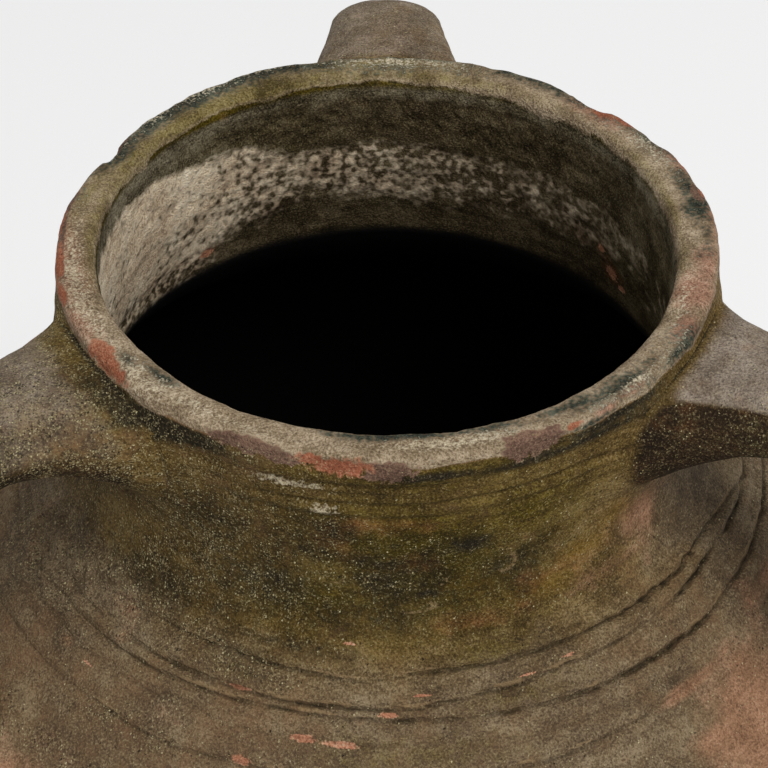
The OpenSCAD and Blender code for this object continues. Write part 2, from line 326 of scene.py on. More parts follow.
def wall_relief(turn, run, drop, point):
    """How far the surface stands out along its normal, by hand, wear and growth."""
    outside = ease(run, -1, 1)
    inside = 1 - outside
    thin = ease(np.hypot(point[..., 0], point[..., 1]), 10, 60)     # nothing at the axis
    flat = np.stack([point[..., 0] * 0.09, point[..., 1] * 0.09, run], axis=-1)
    lip = bell(run, 0, 15)
    relief = 0.9 * noise(point, 130, 1) + 0.45 * noise(point, 47, 2)
    relief += 0.32 * noise(point, 15, 3) + 0.2 * noise(point, 6.5, 4) + 0.12 * noise(point, 3, 5)
    relief += (0.35 * noise(flat, 9, 6) + 0.22 * noise(flat, 4, 7) + 0.1 * noise(flat, 2, 8)) * (1 - 0.7 * lip)
    relief += outside * ease(drop, 170, 260) * 0.9 * noise(flat, 19, 9)
    relief += 0.9 * scars(turn, run)
    relief += 4.2 * ease(most(turn, run, TORN), 0.2, 0.7) * rough_noise(point, 7, 18)
    relief += lip * (0.5 * noise(point, 19, 16) + 0.6 * noise(point, 9, 10) + 0.45 * rough_noise(point, 4, 11) - 0.4)
    # crusted growth and the pits in it, inside the neck
    crust = inside * bell(run, -60, 45)
    relief += crust * (0.35 * rough_noise(point, 9, 12) - 0.7 * ease(rough_noise(point, 6, 13), 0.25, 0.6))
    scales = inside * bell(run, -32, 16) * by_turn(turn, (30, 0.3), (60, 0.9), (110, 1), (140, 0.3), (200, 0.1), (330, 0.1))
    relief += scales * 1.1 * ease(np.abs(rough_noise(point, 7, 17)), 0.02, 0.2)
    # small pits and grains on the outside
    relief -= outside * 0.5 * ease(noise(point, 4.2, 14), 0.62, 0.9) * (1 - lip)
    for middle, at, half_turn, half_run, depth in KNOCKS:
        edge = patch(turn, run, middle, at, half_turn, half_run) + 0.16 * rough_noise(point, 7, 15)
        relief -= depth * ease(edge, 0.42, 0.7)
    # nothing stands out of the box of the solids
    relief -= 1.8 * bell(run, 0, 7) + 1.4 * bell(drop, 365, 110)
    return relief * thin * ease(TOP - drop, 0, 9)


def lip_sway(turn, run):
    sway = sum(by_turn(turn + d, *LIP_SWAY) for d in (-2, 0, 2)) / 3
    # the mouth's edge stands in a little at the front left
    pinch = 1.4 * bell(away(turn, 222), 0, 15) * bell(run, -7, 7)
    return sway * ease(run, -10, 4) * ease(-run, -36, -14) - pinch


# What covers the clay

# Covers laid by place: direction, run, half width in degrees, half width along the outline, strength
OLIVE = [(128, -9, 46, 8, 0.95), (178, -9, 20, 5, 0.75), (80, -9, 26, 5, 0.7), (12, -9, 22, 3, 0.7), (165, 0, 14, 6, 0.7), (94, 0, 22, 8, 0.83)]
LICHEN = [(300, -3, 10, 4, 0.75), (289, -5, 8, 3, 0.75), (128, 5, 30, 7), (105, 2, 12, 5, 0.9), (315, 1, 14, 7, 0.75), (327, 8, 7, 4, 0.8), (12, 2, 12, 6, 0.8),
          (32, 3, 12, 6, 0.7), (275, -6, 13, 3, 0.9), (226, -4, 4, 3, 0.75), (219, 0, 2.6, 2.5, 0.75), (304, 14, 6, 3),
          (60, 4, 12, 4.5, 0.8), (90, 6, 14, 4, 0.8), (96, -2, 20, 6, 0.62)]
CREAM = [(126, 7, 24, 5, 0.72), (224, 3, 10, 6, 0.75), (238, 1, 10, 4, 0.6), (281, 0, 9, 4, 0.85), (318, 5, 12, 3, 0.7),
         (340, -4, 8, 4, 0.6), (205, 0, 8, 4, 0.6), (255, 28, 6, 1.8, 0.85), (259.5, 41, 2.4, 3, 0.9), (30, 0, 12, 5, 0.65),
         (90, 2, 16, 6, 0.7), (192, 0, 16, 6, 0.9)]
BLUSH = [(190, 2, 12, 8, 1.0), (184, 5, 9, 7), (172, 8, 6, 4, 0.8), (343, 0, 4, 9, 1.3), (333, 4, 3, 5, 1.3), (314, 7, 2.5, 2), (308, 9, 2.5, 2),
         (42, 3, 8, 8, 0.9), (22, 6, 8, 5, 0.8), (205, 6, 8, 6, 0.7), (5, 8, 8, 4, 0.8), (350, 4, 6, 6, 0.9)]
# Drifts of shell grit
GRIT = [(222, 121, 10, 7, 1.2), (212, 126, 8, 9), (232, 122, 8, 5, 1.2), (242, 124, 8, 5), (249, 131, 6, 4), (214, 44, 22, 34, 1.2),
        (232, 64, 20, 44, 1.1), (235, 174, 6, 6), (205, 146, 9, 12, 0.8), (262, 78, 12, 16, 0.3), (222, 200, 9, 5)]
# Stains of iron: on the neck, and where the lime came off inside
RUST = [(132, -100, 3, 5), (37, -79, 2.2, 5), (34, -92, 2.6, 6, 1.1), (44, -80, 2, 4), (120, -70, 3, 5, 0.8),
        (268, 50, 7, 5, 0.6), (262, 60, 4, 9, 0.5), (300, 92, 7, 5, 0.45), (276, 74, 6, 6, 0.45), (284, 105, 9, 4, 0.4)]
MOSS = [(275, 68, 21, 36, 0.95), (292, 52, 14, 16, 0.8), (262, 92, 13, 18, 0.9), (150, 62, 40, 30, 0.7), (30, 60, 30, 34, 0.7),
        (285, 118, 10, 6, 0.6), (272, 160, 14, 10, 0.55), (290, 140, 12, 6, 0.5), (246, 132, 10, 6, 0.5)]
# the thin bands at runs 15 to 20, from 270 to 320, are partly dark growth and partly painted shadow under the lip's
# outer edge
DARK = [(233, 17, 13, 6, 1.3), (222, 20, 6, 7, 1.1), (265, 98, 14, 12, 0.6), (276, 19, 9, 2.2), (310, 15, 12, 3), (240, 64, 16, 34, 0.6), (250, 86, 12, 18, 0.66),
        (260, 54, 6, 10, 0.62), (300, 20, 20, 3, 0.9), (232, 108, 18, 14, 0.55), (336, 60, 12, 26, 0.35),
        (213, 70, 14, 26, 0.5), (255, 116, 12, 5, 0.62), (247, 124, 10, 5, 0.55), (270, 82, 12, 20, 0.62), (256, 66, 10, 14, 0.6),
        (284, 64, 5, 5, 0.8), (277, 88, 4, 3, 0.8), (266, 70, 5, 4, 0.75), (290, 80, 10, 12, 0.5)]
AMBER = [(297, 97, 8, 6, 0.7), (268, 51, 7, 5, 0.7), (305, 88, 7, 6, 0.7), (262, 98, 6, 4, 0.7), (284, 86, 7, 7, 0.7), (313, 78, 5, 9, 0.65)]
CLAY = [(319, 86, 9, 22, 0.5), (313, 104, 7, 6, 0.55), (321, 212, 9, 32), (334, 224, 10, 28), (312, 196, 4, 8, 0.8), (335, 165, 6, 8, 0.5), (314, 170, 6, 3, 0.7), (224, 214, 10, 24, 0.45), (300, 262, 18, 28),
        (20, 230, 25, 40), (140, 240, 30, 40), (60, 320, 30, 60), (190, 330, 25, 60), (255, 330, 30, 50),
        (310, 420, 40, 60), (110, 470, 36, 50), (215, 520, 40, 60)]


def wall_covers(turn, run, drop, point):
    """How much of each cover lies at points of the wall: 0.5 is the edge of a patch."""
    outside, inside = ease(run, -2, 2), 1 - ease(run, -2, 2)
    n1, n2, n3 = noise(point, 60, 20), noise(point, 25, 21), noise(point, 11, 22)
    blotch = 0.45 * n1 + 0.35 * n2 + 0.25 * n3
    lip = ease(run - 4 * n3, -17, -11) * ease(1.5 * n3 - run, -14, -11.5)
    body = ease(drop, 165, 300)
    below_lip = outside * (1 - lip)
    neck = below_lip * (1 - ease(drop, 100, 120))
    clay = most(turn, run, CLAY) + 0.25 * n2 + 0.15 * n3
    skin = below_lip * (1 - 0.85 * ease(clay, 0.3, 0.75))
    lime_side = by_turn(turn, (20, 0.42), (60, 0.58), (85, 0.66), (115, 0.74), (140, 0.95), (195, 1.0), (250, 0.8), (330, 0.4))
    lime_top = by_turn(turn, (20, 44), (100, 46), (125, 34), (150, 22), (185, 20), (230, 24), (330, 44))
    pitted = by_turn(turn, (20, 0.52), (60, 0.64), (85, 0.6), (115, 0.54), (135, 0.38), (150, 0.3), (200, 0.26), (330, 0.55))
    covers = {}
    covers["film"] = skin * (0.95 - 0.45 * ease(drop, 108, 140) - 0.1 * body + 0.35 * blotch)
    # the last term lightens the neck beside the right strap, at 333: painted light against the strap's shade
    covers["slate"] = skin * (0.1 + 0.62 * ease(drop, 96, 122) - 0.35 * body + 0.4 * blotch + 0.4 * most(turn, run, TORN)
                              + 0.9 * neck * ease(drop, 30, 60) * bell(away(turn, 333), 0, 20))
    covers["clay"] = below_lip * (1.2 * clay + 0.3 * body)
    covers["amber"] = below_lip * most(turn, run, AMBER)
    covers["moss"] = below_lip * (most(turn, run, MOSS) + 0.12 * neck - 0.1 + 0.3 * blotch
                                 + bell(run, 17, 7) * by_turn(turn, (20, 0.5), (190, 0.4), (300, 0.5), (318, 0.05), (350, 0.05)))
    covers["moss"] += inside * 1.1 * bell(run, -13.5, 2.6) * by_turn(turn, (60, 0.5), (100, 0.8), (125, 1), (200, 1.1), (230, 0.4), (350, 0.4))
    covers["rust"] = most(turn, run, RUST) + 0.2 * n3
    covers["dark"] = below_lip * (most(turn, run, DARK) + 0.06 * neck + 0.2 * blotch - 0.03)
    covers["soot"] = inside * ease(-run, 6, 8)
    covers["scum"] = inside * ease(-run, 11, 17) * (0.2 + 0.35 * ease(turn, 115, 150) + 0.3 * bell(run, -18, 9)
                               + 0.2 * bell(away(turn, 15), 0, 40) + 0.4 * blotch)
    covers["tan"] = lip * (0.9 + 0.15 * n3)
    covers["blush"] = lip * (most(turn, run, BLUSH) + 0.2 * n3)
    covers["olive"] = lip * (most(turn, run, OLIVE) + 0.25 * blotch)
    covers["lichen"] = lip * (0.85 * most(turn, run, LICHEN) + 0.2 * n3 + 0.1)
    covers["cream"] = ease(drop, 45, 43) * (0.8 * most(turn, run, CREAM) + 0.12 * n3)
    band = ease(-run + 5 * n2 - lime_top, -4, 14) * (1 - 0.7 * ease(-run + 8 * n2, 76, 98) * (1 - ease(lime_side, 0.8, 1)))
    covers["lime"] = inside * band * (lime_side + 0.3 * blotch)
    covers["pits"] = inside * ease(-run, 16, 24) * (pitted + 0.35 * blotch + 0.2 * ease(-run, 84, 106))
    # the hold below the throat is painted near-black as shade
    covers["hold_painted_shade"] = inside * ease(-run, 108, 114)
    covers["rubbed"] = covers["umber_and_painted_shade"] = 0 * blotch
    covers["red"] = most(turn, run, RED_FLAKES) + 0.05 * n3
    covers["mauve"] = most(turn, run, MAUVE_FLAKES) + 0.05 * n3
    covers["grit"] = 0.14 + 0.15 * n2 + below_lip * 1.1 * most(turn, run, GRIT) - 0.1 * lip - 0.3 * inside
    covers["chips"] = most(turn, run, CHIPS) + 0.05 * n3
    return covers


def handle_covers(name, point, normal, off, run):
    """Covers of a strap: the wall's own at its roots, a rubbed grey top lightened a little with painted light, a rusty
    dark underside darkened with painted shade, and a painted shadow line under the lip at the roots.
    """
    turn = np.degrees(np.arctan2(point[:, 1], point[:, 0])) % 360
    drop = TOP - point[:, 2]
    covers = wall_covers(turn, np.maximum(run, 16), drop, point)
    n1, n2, n3 = noise(point, 60, 20), noise(point, 25, 21), noise(point, 11, 22)
    blotch = 0.45 * n1 + 0.35 * n2 + 0.25 * n3
    left = name == "handle_left"
    # faces that look down, and on the right strap also forward, are darker: partly rust and stain, partly painted shade
    underside_rust_and_shade = ease(-normal[:, 2], -0.35, 0.5) if left else ease(-0.75 * normal[:, 1] - 0.65 * normal[:, 2], -0.35, 0.0)
    along = ease(off, *((2, 26) if left else (0, 12)))
    # upward faces get a little more of the rubbed grey: partly wear, partly painted light
    rubbed_and_lit_top = ease(normal[:, 2], 0.2, 0.9)
    low = ease(normal[:, 1], 0.1, -0.5)
    own = {"film": 0.75 + 0.4 * underside_rust_and_shade + 0.3 * blotch, "slate": 0.75 - 0.5 * underside_rust_and_shade + 0.4 * blotch - (0.3 * low if left else 0),
           "moss": 0.12 + 0.3 * blotch, "dark": 0.1 + 0.3 * underside_rust_and_shade + 0.35 * blotch,
           "rubbed": {"handle_left": 0.42, "handle_right": 0.75}.get(name, 0.35) * (1 - underside_rust_and_shade) + 0.1 * rubbed_and_lit_top + 0.4 * blotch,
           "clay": 0.1 + 0.3 * n2 + (0.9 if left else 0.2) * ease(normal[:, 1], 0.35, 0.8), "rust": 0.12 * underside_rust_and_shade + 0.3 * n3,
           "grit": (1.3 + 0.7 * low if left else 0.3) + 0.3 * n2,
           "umber_and_painted_shade": (0.6 if left else 1.15) * underside_rust_and_shade + 0.2 * blotch + (0.45 * low if left else 0)}
    for cover, amount in covers.items():
        covers[cover] = amount + (own.get(cover, 0) - amount) * along
    # a painted shadow line along the strap's root just under the lip, where the lip overhangs it
    lip_shadow_line = bell(off, 0.5, 2.5) * ease(-drop, -24, -15)
    covers["dark"] = np.maximum(covers["dark"], 0.95 * lip_shadow_line)
    covers["line"] = 9 + 0 * off
    covers["cut"] = covers["wear_and_highlight"] = 0 * off
    return covers


# Meshes

def make_piece(name, corners, faces, covers, node, normals=None, flat=()):
    """A closed piece that stands for a CAD node, with its covers stored at its corners. The faces of its seams are
    flat, and the rest is shaded with the whole wall's normals, so no seam shows."""
    mesh = bpy.data.meshes.new(name)
    mesh.from_pydata((corners * MM).tolist(), [], faces)
    smooth = np.ones(len(faces), bool)
    smooth[np.asarray(flat, int)] = False
    mesh.polygons.foreach_set("use_smooth", smooth)
    for cover, amount in covers.items():
        attribute = mesh.attributes.new(cover, "FLOAT", "POINT")
        attribute.data.foreach_set("value", np.asarray(amount, np.float32).ravel())
    if normals is not None:
        corner = np.zeros(len(mesh.loops), int)
        mesh.loops.foreach_get("vertex_index", corner)
        shade = normals[corner]
        shade[np.repeat(~smooth, [len(f) for f in faces])] = 0
        mesh.normals_split_custom_set(shade.tolist())
    piece = bpy.data.objects.new(name, mesh)
    bpy.context.scene.collection.objects.link(piece)
    piece.data.materials.append(bpy.data.materials["weathered_terracotta"])
    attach(piece, "root")
    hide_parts(node)
    return piece


def grid_normals(grid):
    """Normals of the whole wall."""
    n = np.cross(np.gradient(grid, axis=0), np.roll(grid, -1, axis=1) - np.roll(grid, 1, axis=1))
    return n / np.maximum(np.linalg.norm(n, axis=-1, keepdims=True), 1e-9)


def seam_rows(outer, inner):
    """The V of a seam, from the outside in: rows of points between the two sides' corners."""
    middle, quarter = (outer + inner) / 2, (outer - inner) / 4
    return np.stack([middle + quarter, middle + [0, 0, SEAM_V], middle - quarter])


def wall_pieces(sides):
    line, ranges = wall_rows(sides)
    turn, run, drop, point = wall_places(line)
    covers = wall_covers(turn, run, drop, point)
    relief, lines = turned_lines(turn, drop, point, ease(run, 0, 4) * (1 - 0.8 * most(turn, run, TORN)))
    covers.update(lines)
    covers["wear_and_highlight"] = np.maximum(covers["wear_and_highlight"], 0.8 * scars(turn, run))
    along = np.gradient(line[:, :2], axis=0)
    along /= np.linalg.norm(along, axis=1, keepdims=True)
    a = np.radians(turn)
    normal = np.stack([-along[:, 1:2] * np.cos(a), -along[:, 1:2] * np.sin(a), along[:, 0:1] + 0 * a], axis=-1)
    grid = point + normal * (wall_relief(turn, run, drop, point) + relief)[..., None]
    sway = lip_sway(turn, run)
    grid[..., 0] += sway * np.cos(a)
    grid[..., 1] += sway * np.sin(a)
    grid = swell_to_handles(grid, normal, run)
    normals = grid_normals(grid)
    for k, name in enumerate(STAGES):
        (o1, o2), (i1, i2) = ranges[name, True], ranges[name, False]
        last = name == STAGES[-1]
        rows = [grid[o1:o2 + 1]]
        kept = [slice(o1, o2 + 1)]
        if not last:
            rows.append(seam_rows(point[o2], point[i1]))
            kept.append([i1] * 3)
        # the rim's two sides meet in the crown's row
        rows.append(grid[i1:i2 + 1] if k else grid[i1:i2])
        kept.append(slice(i1, i2 + 1) if k else slice(i1, i2))
        if k:
            rows.append(seam_rows(point[o1], point[i2])[::-1])
            kept.append([i2] * 3)
        corners = np.concatenate(rows)
        ends = np.cumsum([len(r) for r in rows])
        row, i = np.arange(len(corners))[:, None], np.arange(COLUMNS)[None, :]
        below, nxt = (row + 1) % len(corners), (i + 1) % COLUMNS
        quads = np.stack(np.broadcast_arrays(row * COLUMNS + i, below * COLUMNS + i,
                                             below * COLUMNS + nxt, row * COLUMNS + nxt), axis=-1)
        is_seam = np.zeros(len(corners), bool)
        if not last:
            is_seam[ends[0] - 1:ends[1]] = True
        if k:
            is_seam[ends[-2] - 1:] = True
        if last:
            quads, is_seam = np.delete(quads, ends[0] - 1, axis=0), np.delete(is_seam, ends[0] - 1)
        faces = quads.reshape(-1, 4).tolist()
        if last:
            faces += [((ends[0] - 1) * COLUMNS + np.arange(COLUMNS)[::-1]).tolist(),
                      (ends[0] * COLUMNS + np.arange(COLUMNS)).tolist()]
        make_piece("jar_" + name, corners.reshape(-1, 3), faces,
                   {c: np.concatenate([v[part] for part in kept]) for c, v in covers.items()}, name,
                   np.concatenate([normals[part] for part in kept]).reshape(-1, 3),
                   np.concatenate([np.nonzero(np.repeat(is_seam, COLUMNS))[0], range(is_seam.size * COLUMNS, len(faces))]))


# Handles

FILLET = 22                          # how far from the corner the clay was smeared between strap and wall
FOOT = 28                            # height of the foot that was pressed thin


def handle_mesh(name):
    """The CAD strap remeshed evenly and smoothed, so that its flats go."""
    source = frame["nodes"][name]
    piece = bpy.data.objects.new("shape_" + name, source.data.copy())
    bpy.context.scene.collection.objects.link(piece)
    remesh = piece.modifiers.new("even", "REMESH")
    remesh.mode, remesh.voxel_size = "VOXEL", 1.5 * MM
    smooth = piece.modifiers.new("smooth", "SMOOTH")
    smooth.factor, smooth.iterations = 0.5, 8
    mesh = piece.evaluated_get(bpy.context.evaluated_depsgraph_get()).to_mesh()
    co = np.zeros(len(mesh.vertices) * 3)
    mesh.vertices.foreach_get("co", co)
    no = np.zeros(len(mesh.vertices) * 3)
    mesh.vertices.foreach_get("normal", no)
    faces = [list(p.vertices) for p in mesh.polygons]
    bpy.data.objects.remove(piece)
    return co.reshape(-1, 3) / MM, no.reshape(-1, 3), faces


def from_wall(point, side):
    """How far points stand off the outside of the wall, and the wall's normal there."""
    r, z = np.hypot(point[:, 0], point[:, 1]), point[:, 2]
    order = side[::-1]
    wall_r = np.interp(z, order[:, 1], order[:, 0])
    slope = (np.interp(z + 1, order[:, 1], order[:, 0]) - wall_r)
    tilt = 1 / np.sqrt(1 + slope ** 2)
    normal = np.stack([point[:, 0] / r * tilt, point[:, 1] / r * tilt, -slope * tilt], axis=1)
    return (r - wall_r) * tilt, normal


def handle_pieces(sides):
    line = wall_rows(sides)[0]
    line = line[line[:, 2] > 0]
    for k, (name, (turn, _)) in enumerate(HANDLES.items()):
        point, normal, faces = shapes[name]
        off, wall_normal = from_wall(point, sides[True])
        near = np.clip(1 - off / FILLET, 0, 1) ** 2
        spread = normal - (normal * wall_normal).sum(1, keepdims=True) * wall_normal
        relief = 0.7 * noise(point, 42, 70 + k) + 0.4 * noise(point, 17, 71) + 0.25 * noise(point, 7, 72)
        relief += 0.15 * rough_noise(point, 3.5, 73)
        corners = point + normal * relief[:, None] * ease(off, 0, 6)[:, None]
        corners += spread * (near * FILLET / 4 * ease(TOP - point[:, 2], 10, 22))[:, None]
        # the foot was pressed out thin on the shoulder
        foot = ease(point[:, 2] - point[:, 2].min(), 0, FOOT)
        corners -= wall_normal * (0.8 * np.clip(off, 0, None) * (1 - foot))[:, None]
        # the cut faces sink a little into the wall, so that no gap shows
        corners -= wall_normal * (3 * ease(-off, -1.2, -0.2))[:, None]
        run = np.interp(TOP - point[:, 2], TOP - line[:, 1], line[:, 2])
        make_piece("jar_" + name, corners, faces, handle_covers(name, point, normal, off, run), name)


def swell_to_handles(grid, normal, run):
    """The wall's surface rises towards the straps, where clay was smeared up on them."""
    flat = grid.reshape(-1, 3)
    near = np.zeros(len(flat))
    a = np.degrees(np.arctan2(flat[:, 1], flat[:, 0])) % 360
    on_outside = (run.ravel() > 8) & (run.ravel() < 260)
    for name, (turn, _) in HANDLES.items():
        tree = BVHTree.FromPolygons([Vector(p) for p in shapes[name][0]], shapes[name][2])
        for k in np.nonzero(on_outside & (np.abs(away(a, turn)) < 38))[0]:
            found = tree.find_nearest(Vector(flat[k]), FILLET)
            if found[0] is not None:
                near[k] = max(near[k], (1 - found[3] / FILLET) ** 2)
    rise = near.reshape(run.shape) * FILLET / 4 * ease(run, 13, 24)
    return grid + normal * rise[..., None]


# Material

def hex_colour(code, alpha=1.0):
    """An sRGB hex colour as linear RGBA."""
    channels = [int(code[k:k + 2], 16) / 255 for k in (1, 3, 5)]
    return [c / 12.92 if c <= 0.04045 else ((c + 0.055) / 1.055) ** 2.4 for c in channels] + [alpha]


def add(tree, kind, links=(), stops=None, **settings):
    """Adds a node. Settings are its own properties. Links are its inputs by name or number, each a value, a socket, or
    a node for that node's first output."""
    node = tree.nodes.new(kind)
    for key, value in settings.items():
        setattr(node, key, value)
    for key, value in dict(links).items():
        if isinstance(value, bpy.types.Node):
            value = value.outputs[0]
        if isinstance(value, bpy.types.NodeSocket):
            tree.links.new(value, node.inputs[key])
        else:
            node.inputs[key].default_value = value
    if stops:
        ramp = node.color_ramp
        while len(ramp.elements) < len(stops):
            ramp.elements.new(1)
        for element, (place, code) in zip(ramp.elements, stops):
            element.position, element.color = place, hex_colour(code)
    return node


PER_M = 1000                         # patterns are sized in millimetres, and the texture space is in metres

# Noises: size of the lumps in millimetres and number of octaves; fine is the clay's own sand, drawn twice as coarse
NOISES = {"broad": (26, 4), "mid": (10, 4), "small": (4.0, 4), "speck": (2.0, 3), "fine": (1.0, 2)}
# How much each adds to the mottling; wiped is stretched along the turning
MOTTLING = {"broad": 0.26, "mid": 0.14, "small": 0.12, "fine": 0.34, "wiped": 0.14}

# Covers from the clay up: noise that breaks their edges, how ragged and how soft the edges are, their colours
# from dark to light, thickness and roughness
COVERS = [
    ("film", "mid", 0.8, 0.34, ("#35280b", "#5e4a24", "#826c40"), 0.00, 0.72),
    ("slate", "mid", 0.8, 0.34, ("#46392a", "#675640", "#8a795f"), 0.00, 0.75),
    ("clay", "mid", 0.9, 0.26, ("#6d4e38", "#8e6a50", "#ad8469"), 0.00, 0.85),
    ("soot", "small", 0.5, 0.16, ("#1a1407", "#4a4028", "#807459"), 0.00, 0.90),
    ("scum", "mid", 0.8, 0.30, ("#352d1c", "#6b624e", "#8f8670"), 0.00, 0.90),
    ("rubbed", "mid", 0.8, 0.30, ("#5d5144", "#7d7063", "#a09384"), 0.00, 0.65),
    # this darkest cover lies on the straps' undersides: an umber stain with painted shade in it
    ("umber_and_painted_shade", "mid", 0.8, 0.25, ("#120a02", "#291b0b", "#4b3921"), 0.00, 0.75),
    ("amber", "mid", 0.7, 0.30, ("#56400c", "#745822", "#8a6f3a"), 0.00, 0.70),
    ("moss", "small", 0.9, 0.36, ("#201700", "#3f3302", "#635411"), 0.10, 0.80),
    ("rust", "mid", 0.8, 0.30, ("#4c2c14", "#714827", "#94663e"), 0.00, 0.80),
    ("dark", "small", 1.1, 0.26, ("#0e0b05", "#251e10", "#3f3826"), 0.10, 0.85),
    ("tan", "small", 0.9, 0.16, ("#5f503a", "#89775f", "#b6a48b"), 0.10, 0.88),
    ("blush", "small", 1.0, 0.28, ("#6f4f3e", "#9a755e", "#b99680"), 0.00, 0.88),
    ("olive", "small", 0.9, 0.28, ("#3c3215", "#6b5d35", "#918459"), 0.00, 0.85),
    ("lichen", "speck", 1.5, 0.16, ("#10130f", "#2f342b", "#585b4c"), 0.10, 0.90),
    ("cream", "speck", 1.5, 0.18, ("#8b7d66", "#b0a288", "#d4c8ae"), 0.12, 0.92),
    ("lime", "mid", 0.9, 0.16, ("#b0967a", "#e2cdae", "#f6e9d0"), 0.25, 0.95),
    ("pits", "small", 1.6, 0.16, ("#1a1306", "#3f3420", "#6b5e46"), -0.30, 0.90),
    ("mauve", "small", 0.9, 0.05, ("#4a382c", "#644b3e", "#806552"), -0.25, 0.80),
    ("red", "small", 1.0, 0.09, ("#7a4631", "#91573e", "#ac795e"), -0.30, 0.80),
    ("chips", "speck", 0.9, 0.07, ("#8c5c43", "#ad775b", "#cba084"), -0.25, 0.85),
]
# Grains and pores: spacing, radius as a share of it, how common, colour and height
GRAINS = [(1.5, 0.38, 0.5, "#0f0c05", -0.30), (0.95, 0.43, 0.6, "#94855d", 0.30), (1.2, 0.40, 0.4, "#c6b98f", 0.35)]
# Crust: the noise it follows, where that starts and is full, colour, strength and height; cracks first, then flecks
CRUST = [("speck", 0.46, 0.36, "#110d05", 0.55, -0.6), ("fine", 0.57, 0.67, "#a89a74", 0.6, 0.4)]


